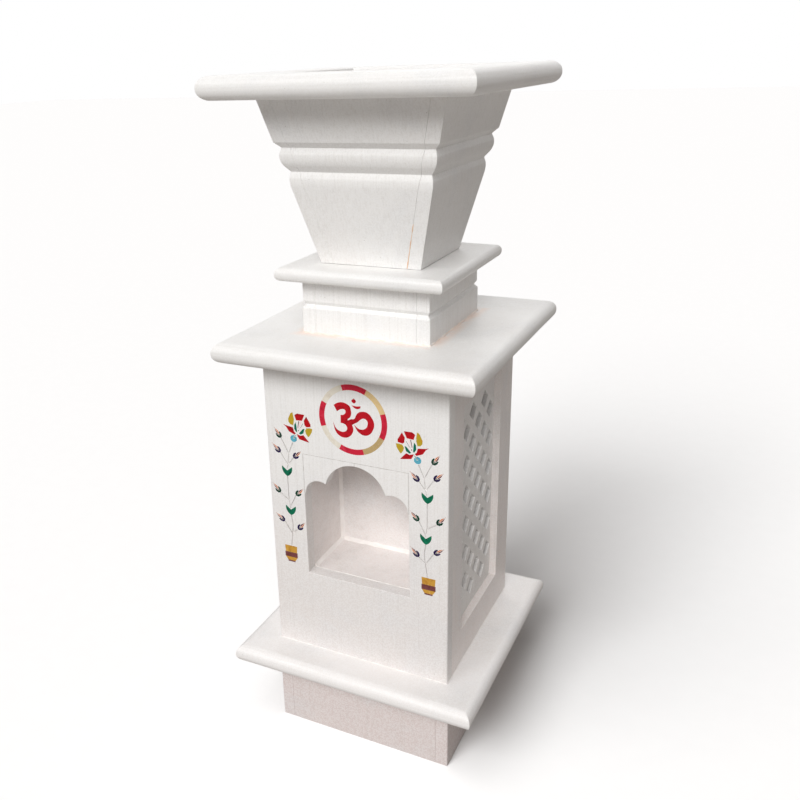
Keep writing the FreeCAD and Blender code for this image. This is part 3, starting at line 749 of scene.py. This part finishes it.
@dataclass
class Front(Course):
    """The body's front panel with its arch insert. The inlay's pockets keep their crisp edges."""

    margin: float = 1.6 * MM

    def worked_edges(self) -> EdgeTest:
        """A test for edges of the panel's outline and opening, which leaves out the inlay's pockets.

        Returns:
            The test that picks the edges to round.
        """
        low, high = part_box("body_front_panel")
        sill_low, sill_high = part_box("niche_floor_slab")
        arch_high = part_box("arch_insert")[1]

        def chosen(start: Vector, end: Vector) -> bool:
            """Whether one edge is on the outline or round the opening.

            Args:
                start: One end of the edge.
                end: The other end.

            Returns:
                True for an edge that is rounded.
            """
            middle = (start + end) / 2
            sides = ((axis, side[axis]) for axis in (0, 2) for side in (low, high))
            outline = any(abs(middle[axis] - value) < self.margin for axis, value in sides)
            across = sill_low[0] - self.margin < middle.x < sill_high[0] + self.margin
            upward = sill_high[2] - self.margin < middle.z < arch_high[2] + self.margin
            return outline or (across and upward)

        return chosen

    def build(self) -> list[Piece]:
        """Work the panel and the insert."""
        return [self.stone("body_front_panel", self.worked_edges()), self.stone("arch_insert")]


@dataclass
class Walls(Course):
    """The body's back and side panels."""

    def build(self) -> list[Piece]:
        """Work the three panels."""
        return [self.stone(f"body_{side}_panel") for side in ("back", "left", "right")]


@dataclass
class Niche(Course):
    """The lined niche: walls, floor and ceiling."""

    def build(self) -> list[Piece]:
        """Work the lining."""
        names = ("left_wall", "right_wall", "back_wall", "floor_slab", "ceiling_slab")
        return [self.stone(f"niche_{name}") for name in names]


@dataclass
class Screens(Course):
    """The pierced screens, sawn and rubbed down by hand."""

    arris: float = 1.1 * MM

    def build(self) -> list[Piece]:
        """Work both screens."""
        return [self.stone(f"jali_{side}") for side in ("left", "right")]


@dataclass(frozen=True)
class Chip:
    """How one stone's chips are cut and set: how much fuller and how far proud, in millimetres."""

    node: str
    slot: str
    fuller: float
    proud: float
    stone: Union[InlayStone, RingStone]


@dataclass
class Inlay:
    """The coloured stones let into the front."""

    ring: Sequence[Chip] = (
        Chip("ring_red_segments", "red_stone", 0.2, 0.08,
             InlayStone("ring_red", (206, 36, 62), (164, 22, 44), (220, 74, 96))),
        Chip("ring_cream_segments", "cream_stone", 0.2, 0.05,
             RingStone("ring_cream", (234, 228, 214), (226, 198, 144), (188, 162, 112), 501 * MM)),
    )
    plant: Sequence[Chip] = (
        Chip("flower_red_petals", "red_stone", 0.42, 0.10,
             InlayStone("petal_red", (184, 8, 22), (122, 4, 16), (206, 30, 50))),
        Chip("flower_gold_petals", "gold_stone", 0.6, 0.08,
             InlayStone("petal_gold", (188, 162, 44), (204, 138, 30), (172, 170, 66))),
        Chip("flower_sepals", "teal_stone", 0.5, 0.12,
             InlayStone("sepal_green", (0, 108, 82), (0, 54, 58), (20, 158, 118))),
        Chip("flower_white_ray", "white_stone", 0.4, 0.13,
             InlayStone("ray_white", (250, 232, 232), (244, 208, 212), (252, 248, 246))),
        Chip("flower_dark_rays", "dark_red_stone", 0.5, 0.14,
             InlayStone("ray_dark", (84, 0, 14), (48, 0, 12), (150, 8, 50))),
        Chip("flower_bead", "blue_stone", 0.1, 0.07,
             InlayStone("bead_blue", (96, 178, 198), (52, 120, 160), (134, 206, 204))),
        Chip("stems", "salmon_stone", 0.07, 0.05,
             InlayStone("stem_salmon", (172, 112, 88), (104, 62, 50), (222, 166, 138))),
        Chip("leaves", "green_stone", 0.2, 0.09,
             InlayStone("leaf_green", (0, 106, 76), (0, 52, 40), (32, 156, 110))),
        Chip("green_bud_cups", "teal_stone", 0.35, 0.12,
             InlayStone("cup_green", (0, 58, 40), (0, 22, 16), (14, 100, 72))),
        Chip("plum_bud_cups", "plum_stone", 0.35, 0.12,
             InlayStone("cup_plum", (34, 18, 70), (14, 6, 30), (70, 48, 116))),
        Chip("bud_hearts", "cream_stone", 0.12, 0.06,
             InlayStone("heart_pale", (150, 146, 138), (92, 96, 104), (196, 192, 184))),
        Chip("bud_tips", "dark_red_stone", 0.28, 0.11,
             InlayStone("tip_red", (112, 16, 10), (62, 6, 4), (160, 40, 24))),
        Chip("bud_gold_tips", "gold_stone", 0.22, 0.08,
             InlayStone("tip_gold", (218, 122, 48), (180, 88, 24), (240, 166, 116))),
        Chip("vase_gold", "gold_stone", 0.2, 0.07,
             InlayStone("vase_gold", (204, 154, 62), (176, 120, 40), (222, 182, 104))),
        Chip("vase_bands", "plum_stone", 0.26, 0.10,
             InlayStone("vase_band", (118, 66, 66), (80, 40, 28), (136, 84, 112))),
    )

    def cut(self, node: str, chip: Chip, material: bpy.types.Material) -> Piece:
        """Cut one node's chips a little fuller than their pockets, which narrows the gaps between them.

        Args:
            node: The frame node.
            chip: How its chips are made.
            material: Their stone.

        Returns:
            The dressed chips.
        """
        piece = Bench.copy(node, f"{node}_cut")
        Bench.fatten(piece, chip.fuller * MM)
        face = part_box("body_front_panel")[0][1]
        front = min(vertex.co.y for vertex in piece.data.vertices)
        piece.location.y = face - chip.proud * MM - front
        bpy.ops.object.transform_apply(location=True, rotation=False, scale=False)
        Bench.settle(piece, angle=30.0)
        return Bench.dress(piece, material, chip.slot, [node])

    def build(self) -> list[Piece]:
        """Cut the ring's chips and those of both plants.

        Returns:
            The dressed chips.
        """
        materials = {chip.node: chip.stone.material() for chip in (*self.ring, *self.plant)}
        wanted = [(chip.node, chip) for chip in self.ring]
        wanted += [(f"{side}_{chip.node}", chip) for side in ("left", "right") for chip in self.plant]
        return [self.cut(node, chip, materials[chip.node]) for node, chip in wanted]


@dataclass(frozen=True)
class Bead:
    """A thin, uneven bead of cement or adhesive squeezed out along a joint."""

    radius: float
    step: float
    uneven: float = 0.35
    seed: int = 3

    def run(self, name: str, material: bpy.types.Material, corners: Sequence[Vector], closed: bool = False) -> Piece:
        """Lay one bead.

        Args:
            name: The piece's name.
            material: Its finish.
            corners: The joint's corners.
            closed: Whether the bead returns to its start.

        Returns:
            The dressed bead.
        """
        chance = random.Random(self.seed)
        stops = list(corners) + ([corners[0]] if closed else [])
        places: list[Vector] = []
        for start, end in zip(stops, stops[1:]):
            count = max(1, round((end - start).length / self.step))
            places += [start.lerp(end, index / count) for index in range(count)]
        if not closed:
            places.append(stops[-1])
        curve = bpy.data.curves.new(name, "CURVE")
        curve.dimensions = "3D"
        curve.bevel_depth = self.radius
        curve.bevel_resolution = 1
        curve.use_fill_caps = True
        spline = curve.splines.new("POLY")
        spline.points.add(len(places) - 1)
        spline.use_cyclic_u = closed
        for point, place in zip(spline.points, places):
            point.co = (*place, 1.0)
            point.radius = 1 + self.uneven * chance.uniform(-1, 1)
        piece = Bench.from_curve(name, curve)
        Bench.settle(piece, angle=75.0)
        return Bench.dress(piece, material, "marble")


@dataclass
class Fillet:
    """A strip of cement pressed into an inner corner of the niche."""

    material: bpy.types.Material
    leg: float = 5.5 * MM
    sunk: float = 0.9 * MM
    grid: float = 2.6 * MM
    uneven: float = 2.4 * MM
    hollow: float = 11 * MM
    hollow_shift: float = 3.0

    def press(self, name: str, start: Vector, end: Vector, first: Vector, second: Vector) -> Piece:
        """Fill one corner.

        Args:
            name: The piece's name.
            start: One end of the corner line.
            end: The other end.
            first: Direction from the corner along one wall.
            second: Direction from the corner along the other wall.

        Returns:
            The dressed strip.
        """
        along = end - start
        low = start - (first + second) * self.sunk
        high = end + (first + second) * self.leg
        size = Vector(abs(high[axis] - low[axis]) for axis in range(3))
        bpy.ops.object.select_all(action="DESELECT")
        bpy.ops.mesh.primitive_cube_add(size=1.0, location=(low + high) / 2, scale=size)
        piece = bpy.context.active_object
        piece.name = name
        bpy.ops.object.transform_apply(location=True, rotation=True, scale=True)
        slope = (first + second).normalized()
        cut = start + along / 2 + first * self.leg
        with Bench.editing(piece):
            bpy.ops.mesh.bisect(plane_co=cut, plane_no=slope, clear_outer=True, use_fill=True)
        Bench.cut_grid(piece, self.grid)
        Bench.wear(piece, self.uneven, self.hollow, along.length * self.hollow_shift)
        Bench.settle(piece, angle=60.0)
        return Bench.dress(piece, self.material, "marble")


@dataclass
class Fixing:
    """All the cement and adhesive that shows in the joints."""

    cement: Mortar = Mortar("pale_cement", (251, 247, 244), (243, 237, 233))
    grey_line: Mortar = Mortar("joint_line", (204, 201, 197), (180, 176, 171))
    adhesive: Mortar = Mortar("orange_adhesive", (240, 206, 174), (230, 180, 138), 0.5)
    pink: Mortar = Mortar("pink_adhesive", (251, 242, 236), (246, 229, 218), 0.6)
    sill_bead: Bead = Bead(1.1 * MM, 5 * MM)
    arch_line: Bead = Bead(0.27 * MM, 5 * MM, 0.7)
    crown_crack: Bead = Bead(0.45 * MM, 1 * MM, 0.3)
    body_bead: Bead = Bead(0.5 * MM, 5 * MM, 0.6, 5)
    neck_bead: Bead = Bead(1.5 * MM, 4 * MM, 0.6, 9)
    pot_bead: Bead = Bead(0.55 * MM, 4 * MM, 0.7, 11)
    sill_sunk: float = 0.55 * MM
    crown_web: float = 5.0 * MM
    pot_foot_half: float = 68 * MM
    pot_slope: float = 51 / 202
    pot_wall: float = 18 * MM
    pot_from: float = 1 * MM
    pot_to: float = 58 * MM
    lift: float = 0.12 * MM

    def __post_init__(self) -> None:
        """Mix the cement once."""
        self.cement_mix = self.cement.material()

    def fill_niche(self) -> list[Piece]:
        """Press cement into the niche's inner corners.

        Returns:
            The dressed cement.
        """
        left, back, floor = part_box("niche_left_wall"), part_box("niche_back_wall"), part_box("niche_floor_slab")
        right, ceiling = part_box("niche_right_wall"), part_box("niche_ceiling_slab")
        west, east, rear = left[1][0], right[0][0], back[0][1]
        front, ground, roof = left[0][1], floor[1][2], ceiling[0][2]
        inward, outward, forth, up = Vector((1, 0, 0)), Vector((-1, 0, 0)), Vector((0, -1, 0)), Vector((0, 0, 1))
        fillet = Fillet(self.cement_mix)
        corners = {
            "niche_left_foot_cement": ((west, front, ground), (west, rear, ground), inward, up),
            "niche_right_foot_cement": ((east, front, ground), (east, rear, ground), outward, up),
            "niche_back_foot_cement": ((west, rear, ground), (east, rear, ground), forth, up),
            "niche_left_corner_cement": ((west, rear, ground), (west, rear, roof), inward, forth),
            "niche_right_corner_cement": ((east, rear, ground), (east, rear, roof), outward, forth),
        }
        done = [
            fillet.press(name, Vector(start), Vector(end), first, second)
            for name, (start, end, first, second) in corners.items()
        ]
        deep = ground - self.sill_sunk
        sill = [Vector((west, front, deep)), Vector((east, front, deep))]
        return done + [self.sill_bead.run("niche_sill_cement", self.cement_mix, sill)]

    def fill_arch(self) -> list[Piece]:
        """Draw the fine joint round the arch insert, and the crack over its crown.

        Returns:
            The dressed lines.
        """
        low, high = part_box("arch_insert")
        face = low[1] + self.lift
        grey = self.grey_line.material()
        corners = [Vector((low[0], face, low[2])), Vector((low[0], face, high[2]))]
        corners += [Vector((high[0], face, high[2])), Vector((high[0], face, low[2]))]
        middle = (low[0] + high[0]) / 2
        crown = [Vector((middle, face, high[2])), Vector((middle, face, high[2] - self.crown_web))]
        return [
            self.arch_line.run("arch_joint", grey, corners),
            self.crown_crack.run("arch_crown_crack", grey, crown),
        ]

    def square(self, nodes: Mapping[str, str], level: float) -> list[Vector]:
        """The four corners where a course meets the slab under it.

        Args:
            nodes: The course's front and right panel.
            level: Height of the joint.

        Returns:
            The corners, from the front left one on.
        """
        front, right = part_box(nodes["front"]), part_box(nodes["right"])
        y, x = front[0][1], right[1][0]
        return [Vector((-x, y, level)), Vector((x, y, level)), Vector((x, -y, level)), Vector((-x, -y, level))]

    def fill_courses(self) -> list[Piece]:
        """Lay the beads round the feet of the body and the neck.

        Returns:
            The dressed beads.
        """
        body = {side: f"body_{side}_panel" for side in ("front", "right")}
        neck = {side: f"neck_{side}_panel" for side in ("front", "right")}
        body_foot, neck_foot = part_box(body["front"])[0][2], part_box(neck["front"])[0][2]
        return [
            self.body_bead.run("body_foot_cement", self.cement_mix, self.square(body, body_foot), closed=True),
            self.neck_bead.run("neck_foot_adhesive", self.pink.material(), self.square(neck, neck_foot), closed=True),
        ]

    def fill_pot(self) -> list[Piece]:
        """Run adhesive down the pot's right-hand joint.

        Returns:
            The dressed line, in a list.
        """
        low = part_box("pot_front_panel")[0]

        def on_joint(height: float) -> Vector:
            """A place on the joint, at a height over the pot's foot."""
            out = self.pot_foot_half + self.pot_slope * height
            return Vector((out - self.pot_wall, -out + self.lift, low[2] + height))

        joint = [on_joint(self.pot_from), on_joint(self.pot_to)]
        return [self.pot_bead.run("pot_joint_adhesive", self.adhesive.material(), joint)]

    def build(self) -> list[Piece]:
        """Fill every joint that shows."""
        return self.fill_niche() + self.fill_arch() + self.fill_courses() + self.fill_pot()


@dataclass
class Symbol:
    """The traditional syllable in the ring, in three thin pieces of red stone.

    Corners are across and upward of the ring's middle, in millimetres. Only sharp ones end in True.
    """

    stone: InlayStone
    proud: float = 0.15 * MM
    thickness: float = 0.9 * MM
    softening: float = 0.12 * MM
    spare: float = 0.1 * MM
    body: Outline = (
        (-25.8, 17.0, True), (-20.3, 20.5), (-13.3, 22.0), (-7.3, 20.5), (-3.3, 17.5), (-2.3, 13.5),
        (-1.8, 9.0), (-3.3, 4.0), (-7.3, 0.5, True), (-6.8, -1.7, True), (-2.3, 0.7), (2.7, 2.0), (4.7, 6.0),
        (7.7, 10.5), (13.7, 13.3), (20.7, 12.8), (26.7, 7.0), (29.7, -1.0), (27.7, -9.5), (22.7, -16.0),
        (16.2, -18.3), (9.7, -16.3), (5.7, -12.5), (2.5, -6.5, True), (6.7, -10.0), (11.7, -11.2), (17.7, -9.0),
        (21.0, -3.0), (20.2, 2.5), (15.7, 4.7), (11.2, 2.7), (6.7, -1.5), (2.7, -4.0), (-1.1, -6.5, True),
        (0.5, -12.0), (-0.8, -17.5), (-5.3, -23.2), (-12.3, -25.7), (-19.3, -24.0), (-24.3, -19.0),
        (-27.3, -8.2, True), (-24.3, -14.5), (-19.3, -17.7), (-12.3, -18.0), (-8.1, -14.0), (-8.8, -9.0),
        (-12.3, -6.5), (-16.8, -6.0, True), (-16.6, 4.5, True), (-12.3, 5.5), (-9.3, 10.0), (-10.8, 13.0),
        (-15.3, 13.0), (-19.3, 11.0), (-21.6, 9.3, True),
    )
    crescent: Outline = (
        (-0.3, 19.8, True), (4.7, 19.3), (11.5, 20.2, True), (11.0, 18.0), (5.2, 16.4),
    )
    dot: Outline = (
        (2.7, 29.3, True), (5.3, 26.0), (2.7, 23.0, True), (-0.6, 26.0),
    )

    def cut(self, name: str, outline: Outline, middle: Vector, material: bpy.types.Material) -> Piece:
        """Cut one piece from its outline.

        Args:
            name: The piece's name.
            outline: Corners in millimetres.
            middle: The ring's middle, on the polished face.
            material: The stone.

        Returns:
            The dressed piece.
        """
        curve = bpy.data.curves.new(name, "CURVE")
        curve.dimensions = "2D"
        curve.fill_mode = "BOTH"
        curve.resolution_u = 5
        curve.extrude = self.thickness / 2 - self.softening
        curve.bevel_depth = self.softening
        curve.bevel_resolution = 1
        curve.offset = self.spare
        spline = curve.splines.new("BEZIER")
        spline.bezier_points.add(len(outline) - 1)
        spline.use_cyclic_u = True
        for place, (across, upward, *sharp) in zip(spline.bezier_points, outline):
            place.co = (across * MM, upward * MM, 0)
            place.handle_left_type = place.handle_right_type = "VECTOR" if sharp else "AUTO"
        piece = Bench.from_curve(name, curve)
        piece.location = middle + Vector((0, self.thickness / 2 - self.proud, 0))
        piece.rotation_euler = (math.pi / 2, 0, 0)
        bpy.ops.object.transform_apply(location=True, rotation=True, scale=False)
        Bench.settle(piece)
        return Bench.dress(piece, material, "red_stone")

    def build(self) -> list[Piece]:
        """Cut and place the three pieces.

        Returns:
            The dressed pieces.
        """
        low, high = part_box("ring_red_segments")
        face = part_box("body_front_panel")[0][1]
        middle = Vector(((low[0] + high[0]) / 2, face, (low[2] + high[2]) / 2))
        material = self.stone.material()
        parts = {"symbol_body": self.body, "symbol_crescent": self.crescent, "symbol_dot": self.dot}
        return [self.cut(name, outline, middle, material) for name, outline in parts.items()]


@dataclass
class Viewpoint:
    """The camera that took the photograph, as measured from the planter's own edges."""

    stand: Triple = (0.46785, -1.04932, 0.93025)
    yaw: float = 0.4898
    pitch: float = -0.3660
    roll: float = -0.0399
    focal_share: float = 888.57 / PHOTO_SIDE
    middle_share: Point = (335.57 / PHOTO_SIDE, 395.90 / PHOTO_SIDE)
    sensor: float = 36.0
    farthest: float = 60.0

    def build(self) -> bpy.types.Object:
        """Set up the camera.

        Returns:
            The camera object.
        """
        level = math.cos(self.pitch)
        ahead = Vector((-math.sin(self.yaw) * level, math.cos(self.yaw) * level, math.sin(self.pitch)))
        flat_right = Vector((math.cos(self.yaw), math.sin(self.yaw), 0.0))
        flat_up = flat_right.cross(ahead)
        right = flat_right * math.cos(self.roll) + flat_up * math.sin(self.roll)
        up = flat_up * math.cos(self.roll) - flat_right * math.sin(self.roll)
        lens = bpy.data.cameras.new("viewpoint")
        lens.sensor_width = self.sensor
        lens.lens = self.sensor * self.focal_share
        lens.shift_x = 0.5 - self.middle_share[0]
        lens.shift_y = self.middle_share[1] - 0.5
        lens.clip_end = self.farthest
        camera = bpy.data.objects.new("viewpoint", lens)
        turn = Matrix((right, up, -ahead)).transposed()
        camera.matrix_world = Matrix.Translation(self.stand) @ turn.to_4x4()
        bpy.context.scene.collection.objects.link(camera)
        bpy.context.scene.camera = camera
        return camera


class Reach(Enum):
    """What a lamp lights."""

    PLANTER = "EXCLUDE"
    FLOOR = "INCLUDE"


@dataclass(frozen=True)
class Lamp:
    """A soft, distant lamp. Its level is how bright it makes a white face turned to it."""

    name: str
    source: Triple
    level: float
    angle: float
    reach: Reach

    def hang(self, floor: Piece) -> None:
        """Hang the lamp.

        Args:
            floor: The floor, which the lamp leaves out or is kept to.
        """
        light = bpy.data.lights.new(self.name, "SUN")
        light.energy = self.level * math.pi
        light.angle = math.radians(self.angle)
        lamp = bpy.data.objects.new(self.name, light)
        lamp.rotation_euler = Vector(self.source).to_track_quat("Z", "Y").to_euler()
        bpy.context.scene.collection.objects.link(lamp)
        group = bpy.data.collections.new(f"{self.name}_reach")
        group.objects.link(floor)
        lamp.light_linking.receiver_collection = group
        group.collection_objects[0].light_linking.link_state = self.reach.value


@dataclass
class Studio:
    """A pale floor, an even surround, soft lamps for the planter and two lamps for the floor alone."""

    floor_side: float = 40.0
    floor_seen: Colour = (243, 243, 243)
    floor_bounce: Colour = (152, 148, 144)
    floor_speck: Colour = (236, 236, 236)
    surround: float = 0.155
    surround_tint: Colour = (255, 245, 239)
    lamps: Sequence[Lamp] = (
        Lamp("front_lamp", (0.12, -0.77, 0.62), 0.38, 25.0, Reach.PLANTER),
        Lamp("side_lamp", (-0.38, -0.75, 0.54), 0.285, 30.0, Reach.PLANTER),
        Lamp("near_lamp", (0.36, -0.75, 0.55), 0.14, 30.0, Reach.PLANTER),
        Lamp("high_lamp", (-0.10, -0.45, 0.89), 0.08, 40.0, Reach.PLANTER),
        Lamp("rear_lamp", (-0.10, 0.60, 0.79), 0.27, 60.0, Reach.PLANTER),
        Lamp("floor_high_lamp", (-0.14, -0.53, 0.83), 0.65, 50.0, Reach.FLOOR),
        Lamp("floor_low_lamp", (-0.12, -0.77, 0.62), 0.67, 30.0, Reach.FLOOR),
    )

    def lay_floor(self) -> Piece:
        """Lay the floor, pale to the eye and a little darker and warmer to bounced light.

        Returns:
            The floor piece.
        """
        bpy.ops.object.select_all(action="DESELECT")
        bpy.ops.mesh.primitive_grid_add(x_subdivisions=4, y_subdivisions=4, size=self.floor_side)
        floor = bpy.context.active_object
        floor.name = "floor"
        recipe = Recipe("pale_floor")
        seen = recipe.make("ShaderNodeLightPath", {}, {}, "Is Camera Ray")
        specks = recipe.noise(recipe.place(), 30.0, detail=2.0).spread(0.3, 0.7) * 0.1
        tone = recipe.mix(specks, recipe.mix(seen, self.floor_bounce, self.floor_seen), self.floor_speck)
        floor.data.materials.append(recipe.surface(Base_Color=tone, Roughness=0.9, Specular_IOR_Level=0.0))
        return floor

    def light_surround(self) -> None:
        """Light the world evenly, and show it white to the eye and in glossy faces."""
        world = bpy.data.worlds.new("surround")
        world.use_nodes = True
        bpy.context.scene.world = world
        tree = world.node_tree
        ground = tree.nodes["Background"]
        path = tree.nodes.new("ShaderNodeLightPath")
        total = path.outputs["Is Camera Ray"]
        for name in ("Is Glossy Ray", "Is Transmission Ray"):
            either = tree.nodes.new("ShaderNodeMath")
            either.operation = "MAXIMUM"
            tree.links.new(total, either.inputs[0])
            tree.links.new(path.outputs[name], either.inputs[1])
            total = either.outputs[0]
        tint = tree.nodes.new("ShaderNodeMix")
        tint.data_type = "RGBA"
        level = [self.surround * share for share in linear(self.surround_tint)[:3]]
        tint.inputs[6].default_value = (*level, 1.0)
        tint.inputs[7].default_value = (1.0, 1.0, 1.0, 1.0)
        tree.links.new(total, tint.inputs[0])
        tree.links.new(tint.outputs[2], ground.inputs["Color"])
        ground.inputs["Strength"].default_value = 1.0

    def build(self) -> None:
        """Set the whole stage."""
        floor = self.lay_floor()
        self.light_surround()
        for lamp in self.lamps:
            lamp.hang(floor)
        bpy.context.scene.view_settings.view_transform = "Standard"


def main() -> None:
    """Set up the camera and the stage, then build the planter course by course."""
    logging.basicConfig(level=logging.INFO, format="%(message)s")
    Viewpoint().build()
    Studio().build()
    courses: list[Course] = [
        # Painted shade: the plinth's darker tone and the foot colours darken the lower courses, standing in for light
        # that falls off towards the bottom.
        Panels(Marble("plinth_marble", (0.2, 0.7, 0.1), tone=(224, 213, 211), foot=(218, 205, 202)), prefix="plinth"),
        Slab(Marble("base_marble", (1.4, 0.2, 0.9), Sawing.LEVEL, foot=(243, 240, 238)), node="base_slab"),
        Front(Marble("front_marble", (2.3, 1.1, 0.4), foot=(227, 221, 218))),
        Walls(Marble("wall_marble", (0.9, 2.1, 1.7), tone=(243, 237, 234), foot=(240, 231, 227))),
        Niche(Marble("niche_marble", (1.9, 0.6, 2.2), Sawing.NONE, tone=(239, 232, 229), foot=(239, 232, 229))),
        Screens(Marble("screen_marble", (0.3, 1.8, 2.9))),
        Slab(Marble("cap_marble", (2.7, 0.4, 1.3), Sawing.LEVEL, smear_round=87 * MM), node="top_slab"),
        Panels(Marble("neck_marble", (0.6, 2.4, 0.8)), prefix="neck"),
        Slab(Marble("ledge_marble", (1.2, 1.5, 2.6), Sawing.LEVEL), arris=0.5 * MM, node="ledge_slab"),
        Panels(Marble("pot_marble", (2.9, 2.2, 0.3)), prefix="pot"),
        Slab(Marble("rim_marble", (0.5, 0.3, 1.9), Sawing.LEVEL), node="rim_slab"),
    ]
    for course in courses:
        course.build()
    Fixing().build()
    Inlay().build()
    Symbol(InlayStone("symbol_stone", (190, 14, 32), (134, 6, 22), (206, 34, 54))).build()


if __name__ == "__main__":
    main()
